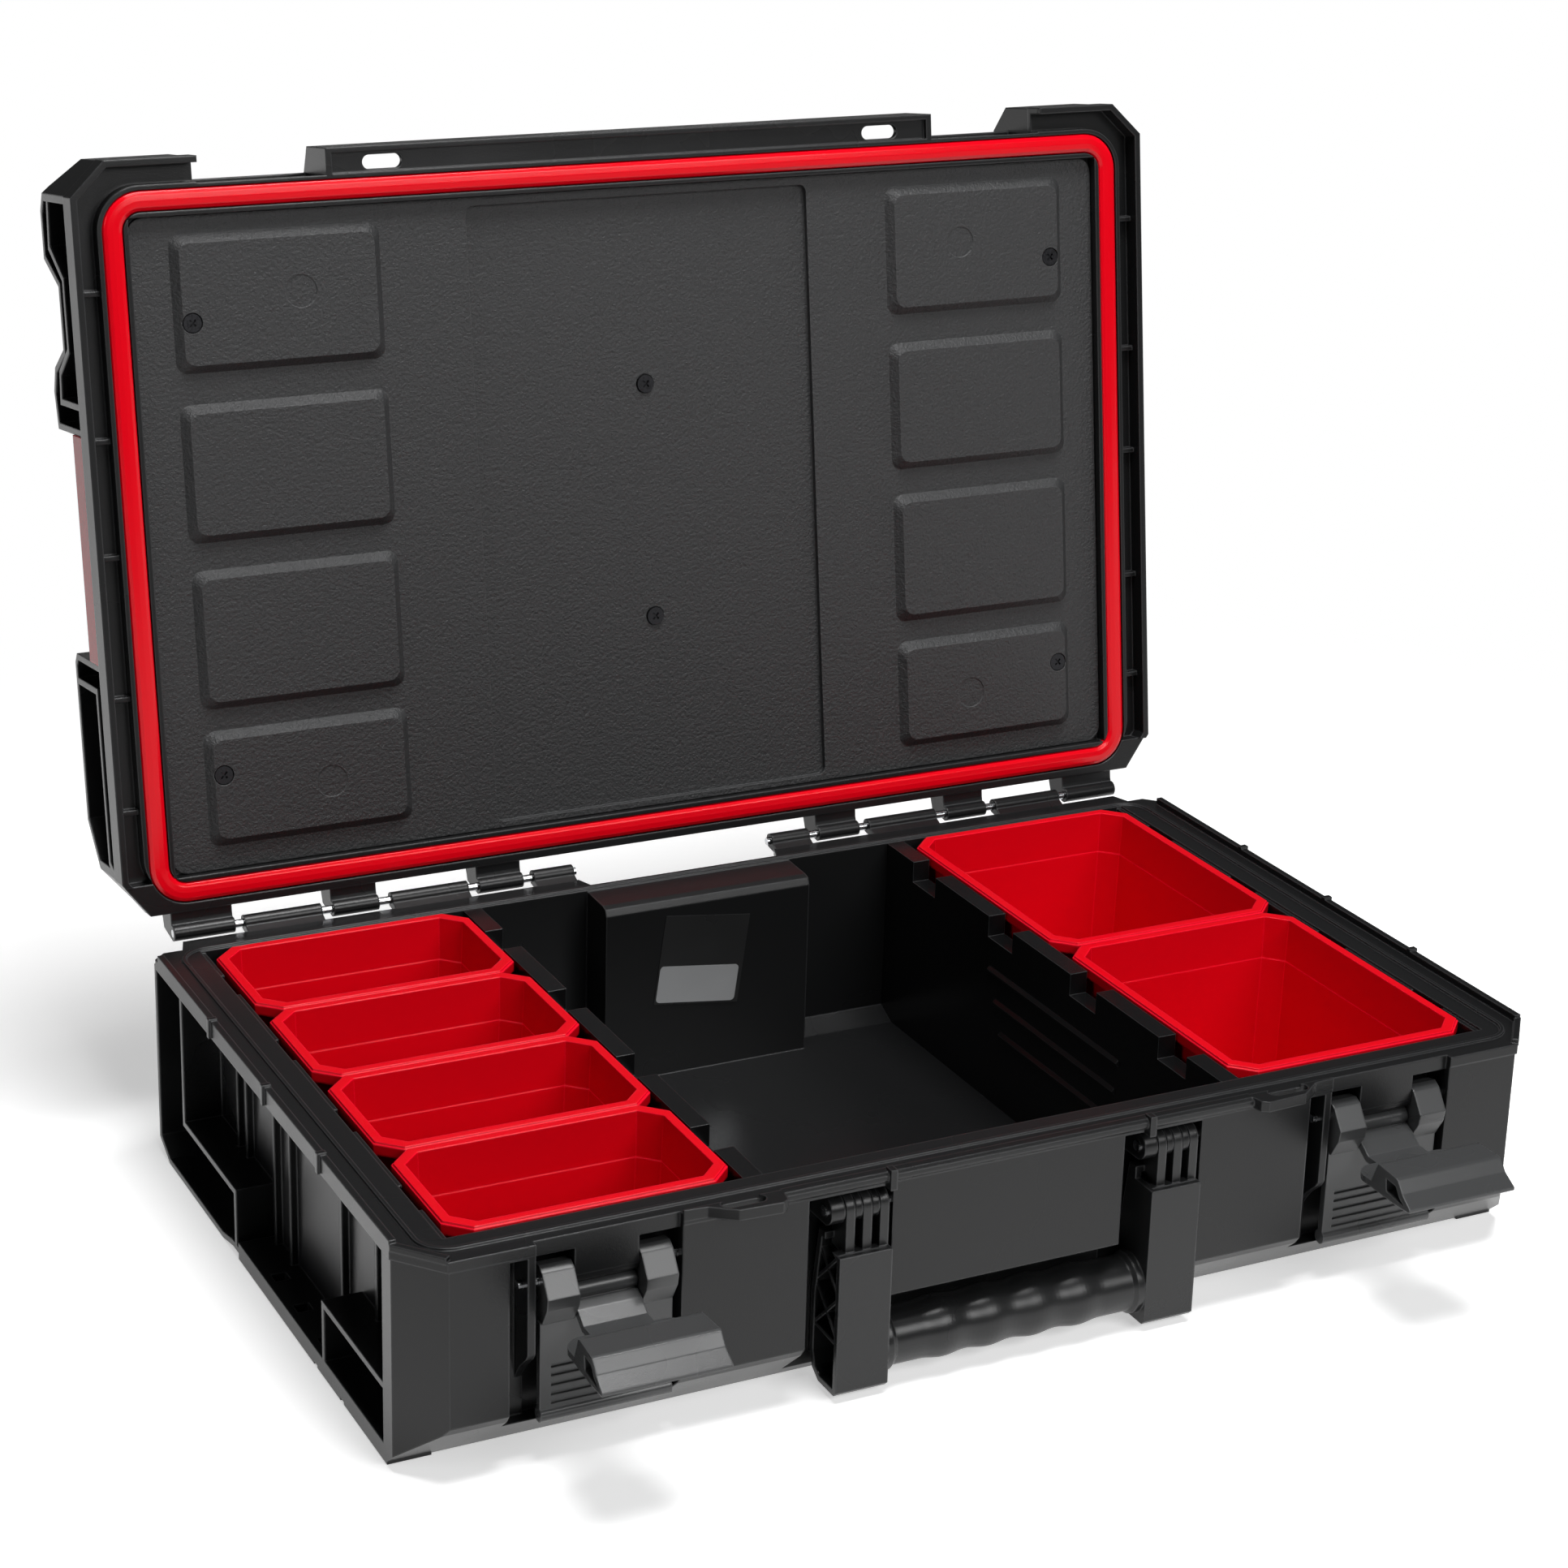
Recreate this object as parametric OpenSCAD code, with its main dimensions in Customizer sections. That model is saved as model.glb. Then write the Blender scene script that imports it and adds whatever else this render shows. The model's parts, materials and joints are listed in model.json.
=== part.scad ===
// Hard tool case with a gasketed lid, open on its hinge stop.
// Origin: middle of the underside of the base. +X right, -Y front, +Z up. Millimetres.
// The lid is drawn closed about its hinge axis and then swung open.

/* [Case] */
// Overall width, across the lid
case_w = 585; // [578:1:600]
// Middle of the base to the front face of its rim
rim_front = 181; // [179:0.5:185]
// Middle of the base to the back face of its rim
rim_back = 167; // [165:0.5:170]
// Height of the base and of its hinge axis
base_h = 106; // [104:0.5:112]
// Thickness of the lid over its corner feet
lid_t = 58; // [56:0.5:62]
// Angle of the lid on its open stop
open_angle = 98; // [90:1:105]

/* [Base] */
// Wall thickness of the tub
wall = 3.5; // [3:0.1:4]
// Thickness of the floor
floor_t = 5; // [4:0.5:6]
// Depth of the open ribbed frame on each side
frame_d = 19.5; // [17:0.5:21]
// Thickness of the frame's ribs
rib = 3; // [2.5:0.1:3.5]
// Depth of the front wall block that holds latches and handle
front_d = 17; // [16:0.5:18]
// Rise of the side lip over the sealing face
lip_h = 3.5; // [2.5:0.1:4]
// Gap between the base lip and the lid skirt
skirt_gap = 4.5; // [4:0.1:5.5]
// Rise and slope length of the bevel under the front wall
bevel_h = 27; // [24:0.5:30]

/* [Inside] */
// Distance from the middle to the inner face of a divider
divider_x = 116; // [110:1:118]
// Thickness of a divider
divider_t = 9.5; // [8:0.5:10]
// Running gap round a bin's rim
bin_gap = 1.5; // [1:0.1:2]
// Width of the bin rims
bin_rim = 5; // [4:0.5:6]
// Wall thickness of the bins
bin_wall = 2; // [1.6:0.1:2.4]
// Width of the moulded housing at the back wall
housing_w = 115; // [106:1:124]
// Depth of the housing from the back wall
housing_d = 24; // [20:1:30]
// Width of the blank label
label_w = 48; // [40:1:54]
// Height of the blank label
label_h = 48.5; // [40:0.5:54]

/* [Hinge] */
// Hinge axis behind the rim
hinge_gap = 17; // [16:0.5:19]
// Radius of the hinge knuckles
knuckle_r = 3.9; // [3.6:0.1:4.2]
// Diameter of the hinge pins
hinge_pin_d = 4; // [3.6:0.1:4.4]
// Radial running clearance of every pin
run = 0.05; // [0.03:0.01:0.08]

/* [Latches] */
// Distance from the lid's side to the middle of each latch
latch_inset = 96.5; // [94:0.5:100]
// Width of a latch lever
lever_w = 60; // [56:1:61]
// Width of a latch hook at its crest
hook_w = 55; // [51:1:56]
// Diameter of the latch pins
latch_pin_d = 4; // [3.6:0.1:4.4]
// Height of the lever pivot below the top of the base
latch_drop = 22.6; // [22:0.1:23.5]

/* [Handle] */
// Distance from the middle to the middle of each arm
arm_x = 78.3; // [76:0.1:80]
// Width of an arm
arm_w = 25.5; // [24:0.5:26.5]
// Thickness of an arm from front to back
arm_t = 25.5; // [24:0.5:26]
// Length of an arm, from its shoulder to its lower end
arm_l = 67; // [64:0.5:68]
// Radius of the grip
grip_r = 14.5; // [13.5:0.1:15]
// Diameter of the pivot pins
handle_pin_d = 5; // [4.4:0.1:5.4]

/* [Lid] */
// Thickness of the lid's skirt and other walls
lid_wall = 3.2; // [2.8:0.1:3.6]
// Width of the gasket
gasket_w = 10; // [9:0.5:11]
// Width of the red band across the lid
band_w = 111; // [100:1:120]
// Height of the band's face over the rim plane
band_h = 28; // [26:0.5:30]
// Thickness of the liner sheet
liner_t = 2.5; // [2:0.1:3]
// Rise of the liner's pads over the sheet
pad_h = 4; // [3:0.1:4.4]
// Diameter of the liner screws' heads
screw_d = 9; // [8:0.5:10]

/* [Hidden] */
$fn = 48;
eps = 0.01;

// Colours
BLACK = [0.09, 0.09, 0.095];
GREY = [0.2, 0.2, 0.21];
RED = [0.8, 0.03, 0.05];
STEEL = [0.75, 0.76, 0.78];

// Base, derived
lid_x = case_w / 2;
lip_x = lid_x - lid_wall - skirt_gap;
tub_x = lip_x - frame_d;
cav_x = tub_x - wall;
front_y = rim_front - 0.5;
tub_front = rim_front - front_d;
cav_front = tub_front - wall;
tub_back = rim_back - 1.5;
cav_back = tub_back - wall;
seal_z = base_h - 2;
flange_z = base_h - 7;
face_x = lip_x - 0.8;
corner_x = 17.3;
corner_y = 21;
bevel_y = 29;
back_bevel = 17;
slope_y = 10;
slope_z = 11.5;
ledge_z = seal_z - 1.3;
ledge_x = cav_x - 2.5;
notch_w = 24;
notch_h = 11;

// Seal: the base tongue stands under the middle of the lid's gasket
gasket_rise = -0.5;
seal_x = lip_x - 12;
seal_front = rim_front - 10;
seal_back = rim_back - 2.4;
seal_r = 14;
tongue_w = 2;

// Label: off the housing's middle, a little askew
label_x = -3.6;
label_z = base_h - 39.6;
label_turn = 7.5;

// Hinge
hinge_y = rim_back + hinge_gap;
hinge_end = lid_x - 23.5;
lid_knuckles = [[hinge_end - 31, hinge_end], [163, 187], [85, 109]];
base_knuckles = [[193, hinge_end - 36], [115, 156], [57, 79]];
pin_ends = [55, hinge_end];
gusset = 17;

// Latch: lever pivot, hook pivot and bay
latch_x = lid_x - latch_inset;
bay_w = lever_w + 6;
pivot_y = -(rim_front - 7.5);
pivot_z = base_h - latch_drop;
hook_y = pivot_y + 0.9;
hook_z = pivot_z - 8.2;
barrel_w = 29;
barrel_r = 4.1;
lever_foot = pivot_z - 61;
bay_z0 = lever_foot - 4.2;
hook_reach = 66.4;
pocket_w = 8;
wall_edge = [[-tub_front - 2, 13.6], [-tub_front - 4.5, 17.6], [-tub_front - 8, 22.1], [-rim_front + 2.5, 28.1],
    [-rim_front - 0.5, 32.6]];

// Handle: pivot axis and recess
handle_y = -(rim_front - 6);
handle_z = base_h - 17;
arm_front = -(rim_front + 4.5);
arm_neck = 19;
arm_top = handle_z - arm_neck;
arm_back = arm_front + arm_t;
arm_room = 0.6;
arm_wall = 3;
side_room = 13;
arm_bottom = arm_top - arm_l;
fin_w = 4.2;
fin_pitch = 8.2;
fin_r = 6.5;
grip_z = arm_bottom + grip_r + 1.5;
grip_y = arm_front + grip_r;
grip_back = arm_front + 20.5;
swell_half = 45;
swell_pitch = 23;
recess_top = base_h - 61.5;
slot_x = latch_x - 59.5;
slot_l = 20.5;
slot_w = 7;
slot_y = -(rim_front + 2);
tab_y = rim_front + 10;

// Bins
bin_z0 = floor_t + 0.2;
bin_top = base_h - 1;
bin_in = divider_x + divider_t + bin_gap;
bin_out = ledge_x - bin_gap;
bin_row0 = -cav_front + bin_gap;
bin_row1 = cav_back - bin_gap;
bin_pitch = (bin_row1 - bin_row0) / 4;
bin_corner = 10.5;
bin_draft = 5;

// Lid in its own hinge frame: x across, y = -v with v from the hinge axis to the front, z up when closed
lid_back = 10;
lid_face = hinge_y + rim_front - 3;
lid_front = hinge_y + tab_y;
gasket_t = 4.2;
gap_in = latch_x - 30;
gap_out = latch_x + 34.5;
front_corner = [17, 16.5];
back_corner = [13.5, 18];
channel_h = 8;
rim_gap = 0.3;
keeper_h = 5.5;
claw_room = 8;
claw_top = 32;
gutter_z = [3, 6.2];
fascia_h = 28;
fascia_t = 2.6;
front_h = 36;
gasket_out = seal_x + gasket_w / 2;
gasket_v0 = hinge_y - seal_back - gasket_w / 2;
gasket_v1 = hinge_y + seal_front + gasket_w / 2;
gasket_r = seal_r + gasket_w / 2;
deck_h = 40;
foot_z = lid_t;
foot_in = gap_out + 2;
deck_in = foot_in - lid_wall;
band_v0 = (lid_front - band_w) / 2 + 2;
band_v1 = band_v0 + band_w;
liner_z = pad_h + 1.2;
liner_x = gasket_out - gasket_w - 3;
liner_v0 = gasket_v0 + gasket_w + 3;
liner_v1 = gasket_v1 - gasket_w - 3;
pad_x = [139, liner_x - 18.8];
pad_v = [[38.5, 97], [107, 176.5], [189, 257], [271, 338.5]];
ejector_x = pad_x[1] - 64;
ejector_v = [64.8, 307.5];
ejector_d = 16;
panel_x = 94;
panel_v = [30.6, 342.6];
panel_dip = 3;
screw_x = pad_x[1] - 9;
screws = [[-screw_x, 296], [screw_x, 296], [-screw_x, 75], [screw_x, 75], [0, 247], [0, 126.6]];

// ---------- Helpers ----------
function heading(a, b) = (b - a) / norm(b - a);
function side(a, b) = let (d = heading(a, b)) [-d[1], d[0]];
function shifted(p, a, b, t) = p + t * (a + b) / (1 + a * b);
// Offset of an open path by t to its left
function path_offset(path, t) = let (n = len(path) - 1) [for (i = [0:n])
    let (a = i > 0 ? side(path[i - 1], path[i]) : side(path[0], path[1]),
         b = i < n ? side(path[i], path[i + 1]) : a)
    shifted(path[i], a, b, t)];
// Offset of a closed counter-clockwise outline inwards by t
function inset(p, t) = let (n = len(p)) [for (i = [0:n - 1])
    let (a = side(p[(i + n - 1) % n], p[i]), b = side(p[i], p[(i + 1) % n]))
    shifted(p[i], a, b, t)];
function reversed(p) = [for (i = [len(p) - 1:-1:0]) p[i]];
// Strip of even thickness along an open path
function ribbon(path, t) = concat(path_offset(path, t / 2), reversed(path_offset(path, -t / 2)));
function mirrored(p) = concat(p, [for (q = reversed(p)) [-q[0], q[1]]]);

module both() {
    children();
    mirror([1, 0, 0]) children();
}

// Draws its children as they are, or mirrored in X when way is negative
module facing(way) {
    if (way > 0) children();
    else mirror([1, 0, 0]) children();
}

// Extrudes an outline of [y, z] points along X between x0 and x1
module along_x(x0, x1, points) {
    translate([x0, 0, 0]) rotate([90, 0, 90]) linear_extrude(height = x1 - x0) polygon(points);
}

module box(x, y, z) {
    translate([x[0], y[0], z[0]]) cube([x[1] - x[0], y[1] - y[0], z[1] - z[0]]);
}

// Cylinder along X from x0 to x1 about the line y, z
module rod(x0, x1, y, z, r) {
    translate([x0, y, z]) rotate([0, 90, 0]) cylinder(h = x1 - x0, r = r);
}

// Rectangle with rounded corners, from its half width and its y limits
module round_rect(x, y0, y1, r) {
    square_x = x - r;
    union() {
        translate([-x, y0 + r]) square([2 * x, y1 - y0 - 2 * r]);
        translate([-square_x, y0]) square([2 * square_x, y1 - y0]);
        for (cx = [-square_x, square_x], cy = [y0 + r, y1 - r]) translate([cx, cy]) circle(r);
    }
}

// Band of width w whose middle line is a rounded rectangle
module round_ring(x, y0, y1, r, w) {
    difference() {
        round_rect(x + w / 2, y0 - w / 2, y1 + w / 2, r + w / 2);
        round_rect(x - w / 2, y0 + w / 2, y1 - w / 2, r - w / 2);
    }
}

module slot(x, y, l, w, z0, z1) {
    translate([x - (l - w) / 2, y - w / 2, z0]) cube([l - w, w, z1 - z0]);
    for (s = [-1, 1]) translate([x + s * (l - w) / 2, y, z0]) cylinder(h = z1 - z0, d = w);
}

// ---------- Base ----------
function rim_outline(x, front) = mirrored([[x - 6, rim_back], [x, rim_back - 6], [x, corner_y - front],
    [x - corner_x, -front]]);

// Closed block in front of the tub, with its bevelled underside and corners
module front_block() {
    intersection() {
        along_x(-face_x, face_x, [[-front_y + bevel_y, 0], [-front_y + 3, bevel_h - 4], [-front_y, bevel_h],
            [-front_y, flange_z + 1], [-front_y + bevel_y, flange_z + 1]]);
        linear_extrude(height = base_h) polygon(mirrored([[face_x, -tub_front + 13],
            [face_x, corner_y - front_y], [face_x - corner_x, -front_y]]));
    }
}

module tub() {
    along_x(-tub_x, tub_x, [[-tub_front, flange_z + 1], [-tub_front, 14], [-front_y + bevel_y, 0],
        [tub_back - back_bevel, 0], [tub_back, 9], [tub_back, flange_z + 1]]);
}

// Open inside of the tub, sloped along its front and back floor edges
module tub_inside() {
    along_x(-cav_x, cav_x, [[-cav_front, base_h + 1], [-cav_front, floor_t + slope_z],
        [-cav_front + slope_y, floor_t], [cav_back - 11.5, floor_t], [cav_back, floor_t + 5.5], [cav_back, base_h + 1]]);
}

module rim() {
    translate([0, 0, flange_z]) linear_extrude(height = seal_z - flange_z)
        polygon(rim_outline(lip_x, rim_front));
    translate([0, 0, seal_z - eps]) linear_extrude(height = base_h + gasket_rise - 0.4 - seal_z)
        round_ring(seal_x, -seal_front, seal_back, seal_r, tongue_w);
}

// Raised lip along each side and round the front corner
module side_lip() {
    lip = 3.2;
    x = lip_x - lip / 2;
    y = corner_y - rim_front;
    translate([0, 0, seal_z - 1]) linear_extrude(height = lip_h + 1)
        polygon(ribbon([[x, rim_back - 10], [x, y]], lip));
    translate([0, 0, seal_z - 1]) linear_extrude(height = base_h - seal_z + 1)
        polygon(ribbon([[x, y + 1], [x, y], [x - corner_x + 1, -rim_front + 1.4]], lip));
    for (y = [75, -2, -75])
        box([lip_x - 3.2, lip_x + 1.2], [y - 1.5, y + 1.5], [flange_z, seal_z + lip_h + 1]);
}

// Ribs standing out of the tub's side: rear frame, bottom rail and front frame
module side_frame() {
    x0 = tub_x - 1;
    top = flange_z + 1;
    back = tub_back - rib / 2;
    along_x(x0, face_x, ribbon([[back, top], [back, 9], [back - 14.5, rib / 2], [66, rib / 2],
        [51, rib / 2 + 3], [40, rib / 2 + 3]], rib));
    along_x(x0, face_x, ribbon([[124, top], [124, 33], [46.5, 33], [46.5, 4]], rib));
    along_x(x0, face_x, ribbon([[-74.5, 3], [-74.5, 35.5], [-150, 35.5]], rib));
    box([x0, face_x], [-154, -149], [8, top]);
    difference() {
        box([x0, face_x], [-153, 43], [0, 8.5]);
        for (y = [4, -27, -59]) box([tub_x + 8, tub_x + 15], [y - 3.5, y + 3.5], [4, 9]);
        box([x0, face_x + 1], [-66, -62], [-1, 1.2]);
        box([x0, face_x + 1], [-100, -96], [-1, 1.2]);
    }
    for (y = [88, 75, 35, 13, -56, -100]) box([x0, tub_x + 3.5], [y - 1.2, y + 1.2], [8, top]);
}

// Padlock tab, one at each side of the front strip
module padlock_tab() {
    translate([0, 0, base_h - 5]) linear_extrude(height = 5)
        polygon([[slot_x - 20, -rim_front + 1], [slot_x - 18, -tab_y + 2], [slot_x - 15, -tab_y],
            [slot_x + 5, -tab_y + 1], [slot_x + 16, -rim_front - 1], [gap_in - 1, -rim_front],
            [gap_in - 1, -rim_front + 1]]);
}

module front_strip() {
    strip = 3.6;
    along_x(-slot_x + 19, slot_x - 19, [[-rim_front + 2, base_h - 5], [-rim_front - strip + 1, base_h - 5],
        [-rim_front - strip, base_h - 3.5], [-rim_front - strip, base_h - 1.5],
        [-rim_front - strip + 1.5, base_h], [-rim_front + 2, base_h]]);
    for (x = [-66.5, 63.5])
        box([x - 1.6, x + 1.6], [-rim_front - strip - 1.6, -rim_front], [base_h - 8, base_h + 1.5]);
}

// Knuckles and leaf at the back, on one side
module base_hinge() {
    translate([0, 0, base_h - 5]) linear_extrude(height = 3) polygon([[pin_ends[0] - 3, rim_back - 2],
        [pin_ends[1] + 1, rim_back - 2], [pin_ends[1] - 3, hinge_y - 7], [pin_ends[0] + 1, hinge_y - 7]]);
    for (k = base_knuckles) {
        rod(k[0], k[1], hinge_y, base_h, knuckle_r);
        along_x(k[0], k[1], [[hinge_y - 8, base_h - 5], [hinge_y, base_h - knuckle_r],
            [hinge_y, base_h], [hinge_y - 3.4, base_h], [hinge_y - 8, base_h - 2]]);
    }
}

// Solid lugs that carry the lever pin, inside one latch bay
module latch_boss() {
    boss_r = 3.6;
    rod(-barrel_w / 2, barrel_w / 2, pivot_y, pivot_z, boss_r);
    along_x(-barrel_w / 2, barrel_w / 2, [[-tub_front + 1, pivot_z - 1], [pivot_y, pivot_z - boss_r],
        [pivot_y, flange_z], [-tub_front + 1, flange_z]]);
}

// Room cut for one latch: bay, side pocket and finger step
module latch_bay() {
    half = bay_w / 2;
    y0 = -rim_front - 15;
    difference() {
        union() {
            box([-half, half], [y0, -tub_front], [bay_z0, base_h - 9]);
            box([-half, half], [y0, -rim_front + 3.4], [base_h - 10, base_h + 1]);
        }
        box([-barrel_w / 2, barrel_w / 2], [-rim_front + 3.4, 0], [pivot_z + 1, base_h]);
    }
    box([-half - 3.5 - pocket_w, -half - 3.5], [y0, -tub_front - 2], [bay_z0, base_h - 8]);
    along_x(-half - 3.6, -half + 1, concat([[-tub_front - 2, bay_z0]], [for (p = wall_edge)
        [p[0], lever_foot + p[1]]], [[y0, lever_foot + 32.6], [y0, bay_z0]]));
}

// Room cut for the handle: one pocket behind each arm and a trough behind the grip
module handle_recess() {
    y0 = -rim_front - 15;
    for (s = [-1, 1]) translate([s * arm_x, 0, 0])
        box([-arm_w / 2 - side_room, arm_w / 2 + 2], [y0, arm_back + arm_room], [-1, flange_z - 1]);
    along_x(-arm_x, arm_x, [[grip_back + 1.1, -1], [grip_back + 1.1, recess_top - 8],
        [-rim_front + 4, recess_top], [y0, recess_top], [y0, -1]]);
}

// Walls that close the arm pockets off from the tub
module handle_pocket_walls() {
    y1 = arm_back + arm_room + wall;
    for (s = [-1, 1]) translate([s * arm_x, 0, 0])
        along_x(-arm_w / 2 - side_room - wall, arm_w / 2 + 2 + wall, [[-tub_front - 1, 14], [-tub_front, 14],
            [y1, (-front_y + bevel_y - y1) * 14 / (tub_front - front_y + bevel_y)], [y1, flange_z + 1],
            [-tub_front - 1, flange_z + 1]]);
}

// Fixed ears between which the fins of one arm turn
module handle_ears() {
    y1 = arm_back + arm_room + 1;
    for (x = [-arm_w / 2 - 3, -arm_w / 2 + 4.6 + fin_w, -arm_w / 2 + 4.6 + fin_pitch + fin_w])
        translate([x, 0, 0]) {
            w = x < -arm_w / 2 ? 6.6 : fin_pitch - fin_w - 0.8;
            translate([0.4, 0, 0]) {
                rod(0, w, handle_y, handle_z, fin_r);
                box([0, w], [handle_y, y1], [handle_z - fin_r, flange_z]);
            }
        }
}

// Moulded housing that stands into the tub from the back wall; less by t on each face for its inside
module housing(t) {
    top = base_h - 3 - t;
    face = cav_back - housing_d + t;
    along_x(-housing_w / 2 + t, housing_w / 2 - t, [[tub_back - 1, floor_t - 1], [face, floor_t - 1],
        [face, top - 5], [face + 1.5, top - 1.5], [face + 5, top - 0.5], [cav_back - 2, top], [tub_back - 1, top]]);
}

module base_shell() color(BLACK) {
    difference() {
        union() {
            difference() {
                union() {
                    tub();
                    front_block();
                    rim();
                }
                tub_inside();
                for (s = [-1, 1]) translate([s * latch_x, 0, 0]) latch_bay();
                handle_recess();
            }
            difference() {
                handle_pocket_walls();
                handle_recess();
            }
            both() side_lip();
            both() side_frame();
            both() padlock_tab();
            both() base_hinge();
            both() side_ledge();
            front_strip();
            for (s = [-1, 1]) translate([s * latch_x, 0, 0]) latch_boss();
            for (s = [-1, 1]) translate([s * arm_x, 0, 0]) handle_ears();
            housing(0);
        }
        housing_recess();
        both() slot(slot_x, slot_y, slot_l, slot_w, base_h - 8, base_h + 1);
        rod(-lid_x, lid_x, hinge_y, base_h, hinge_pin_d / 2 + run);
        for (s = [-1, 1]) translate([s * latch_x, 0, 0])
            rod(-bay_w / 2 - 5.5, bay_w / 2 + 5, pivot_y, pivot_z, latch_pin_d / 2 + run);
        for (s = [-1, 1]) translate([s * arm_x, 0, 0])
            rod(-arm_w / 2 - 4, arm_w / 2 + 6, handle_y, handle_z, handle_pin_d / 2 + run);
        latch_front_relief();
    }
}

// Ledge under the bin rims, notched at the middle of each small bin
module side_ledge() {
    difference() {
        box([ledge_x, cav_x + 1], [-cav_front - 1, cav_back + 1], [ledge_z - notch_h, ledge_z]);
        for (i = [0:3]) let (y = bin_row0 + bin_pitch * (i + 0.5))
            box([ledge_x - 1, cav_x], [y - notch_w / 2, y + notch_w / 2], [0, base_h]);
    }
}

// The housing is open to the back
module housing_recess() {
    intersection() {
        translate([0, 5, 0]) housing(wall);
        box([-housing_w, housing_w], [0, rim_back + 5], [floor_t + 8, flange_z - 4]);
    }
    intersection() {
        housing(wall);
        box([-housing_w, housing_w], [0, rim_back + 5], [floor_t + 8, flange_z - 4]);
    }
}

// Front rim set back over each latch
module latch_front_relief() {
    for (s = [-1, 1]) translate([s * latch_x, 0, 0])
        box([-bay_w / 2, bay_w / 2], [-rim_front - 15, -rim_front + 3.4], [base_h - 12, base_h + 3]);
}

// ---------- Dividers ----------
// Double-walled divider: merlons beside the bins' corners, notches at their middles, hollow from below
module divider() {
    x1 = divider_x + divider_t;
    notch_z = base_h - 13.5;
    difference() {
        union() {
            along_x(divider_x, x1, [[-cav_front + 0.3, ledge_z + 1], [-cav_front + 0.3, floor_t + slope_z + 0.3],
                [-cav_front + slope_y + 0.3, floor_t], [cav_back - 11.5, floor_t], [cav_back - 0.3, floor_t + 5.5],
                [cav_back - 0.3, ledge_z + 1]]);
            for (i = [0:2]) {
                z = base_h - 30 - i * 15.5;
                shift = -7 * i;
                translate([divider_x, 0, z]) rotate([90, 0, 0]) translate([0, 0, -50 - shift])
                    linear_extrude(height = 124 - 9 * i) polygon([[0.1, -2], [-1.4, 0], [0.1, 2]]);
            }
        }
        for (i = [0:3]) let (y = bin_row0 + bin_pitch * (i + 0.5))
            box([divider_x - 1, x1 + 1], [y - notch_w / 2, y + notch_w / 2], [notch_z, base_h]);
        box([divider_x + 2.5, x1 - 2.5], [-cav_front + 16, cav_back - 12], [0, notch_z - 4]);
    }
}

module divider_left() color(BLACK) mirror([1, 0, 0]) divider();
module divider_right() color(BLACK) divider();

// ---------- Label ----------
module blank_label() color(GREY) {
    t = 0.4;
    translate([label_x, cav_back - housing_d, label_z]) rotate([0, label_turn, 0])
        box([-label_w / 2, label_w / 2], [-t, 0], [-label_h / 2, label_h / 2]);
}

// ---------- Pins ----------
module hinge_pin() {
    color(STEEL) rod(pin_ends[0], pin_ends[1], hinge_y, base_h, hinge_pin_d / 2);
}

module hinge_pin_left() mirror([1, 0, 0]) hinge_pin();
module hinge_pin_right() hinge_pin();

module latch_pin() color(STEEL)
    rod(-bay_w / 2 - 5.5, bay_w / 2 + 4.5, pivot_y, pivot_z, latch_pin_d / 2);

module latch_pin_left() translate([-latch_x, 0, 0]) latch_pin();
module latch_pin_right() translate([latch_x, 0, 0]) latch_pin();

module hook_pin() color(STEEL)
    rod(-lever_w / 2 + 1, lever_w / 2 - 1, hook_y, hook_z, latch_pin_d / 2);

module hook_pin_left() translate([-latch_x, 0, 0]) hook_pin();
module hook_pin_right() translate([latch_x, 0, 0]) hook_pin();

module handle_pin() color(STEEL)
    rod(-arm_w / 2 - 3.4, arm_w / 2 + 5, handle_y, handle_z, handle_pin_d / 2);

module handle_pin_left() translate([-arm_x, 0, 0]) handle_pin();
module handle_pin_right() translate([arm_x, 0, 0]) handle_pin();

// ---------- Latch ----------
// Lever section in [y, z], from the pivot
module latch_lever() color(GREY) {
    half = lever_w / 2;
    plate_y = pivot_y - 4.5;
    difference() {
        union() {
            both() along_x(barrel_w / 2 + 0.5, half - 0.5, [for (p = [[4, 6.6], [-1.5, 7.6], [-5, 5.5],
                [-11.5, -3.9], [-10.5, -9.4], [-5.4, -18], [-1.2, -18], [3, -14]])
                [pivot_y + p[0], pivot_z + p[1]]]);
            along_x(-half, half, [[plate_y, pivot_z - 17.5], [plate_y, lever_foot], [plate_y + 3.5, lever_foot],
                [plate_y + 3.5, pivot_z - 17.5]]);
            rod(-half, half, plate_y + 2, lever_foot, 3.5);
        }
        for (z = [45, 41, 36.5, 32, 28]) along_x(-half + 5, half - 5, [for (p = [[-0.5, -1], [0.9, -0.5],
            [0.9, 0.5], [-0.5, 1]]) [plate_y + p[0], lever_foot - 22.5 + z + p[1]]]);
        rod(-half, half, pivot_y, pivot_z, latch_pin_d / 2 + run);
        rod(-half, half, hook_y, hook_z, latch_pin_d / 2 + run);
    }
}

module latch_lever_left() translate([-latch_x, 0, 0]) latch_lever();
module latch_lever_right() translate([latch_x, 0, 0]) latch_lever();

// Hook section: neck, plate and hollow claw. Points are [out, down] from the hook pivot.
module bent(x0, x1, points) {
    along_x(x0, x1, [for (p = points) [hook_y - p[0], hook_z - p[1]]]);
}

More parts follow.
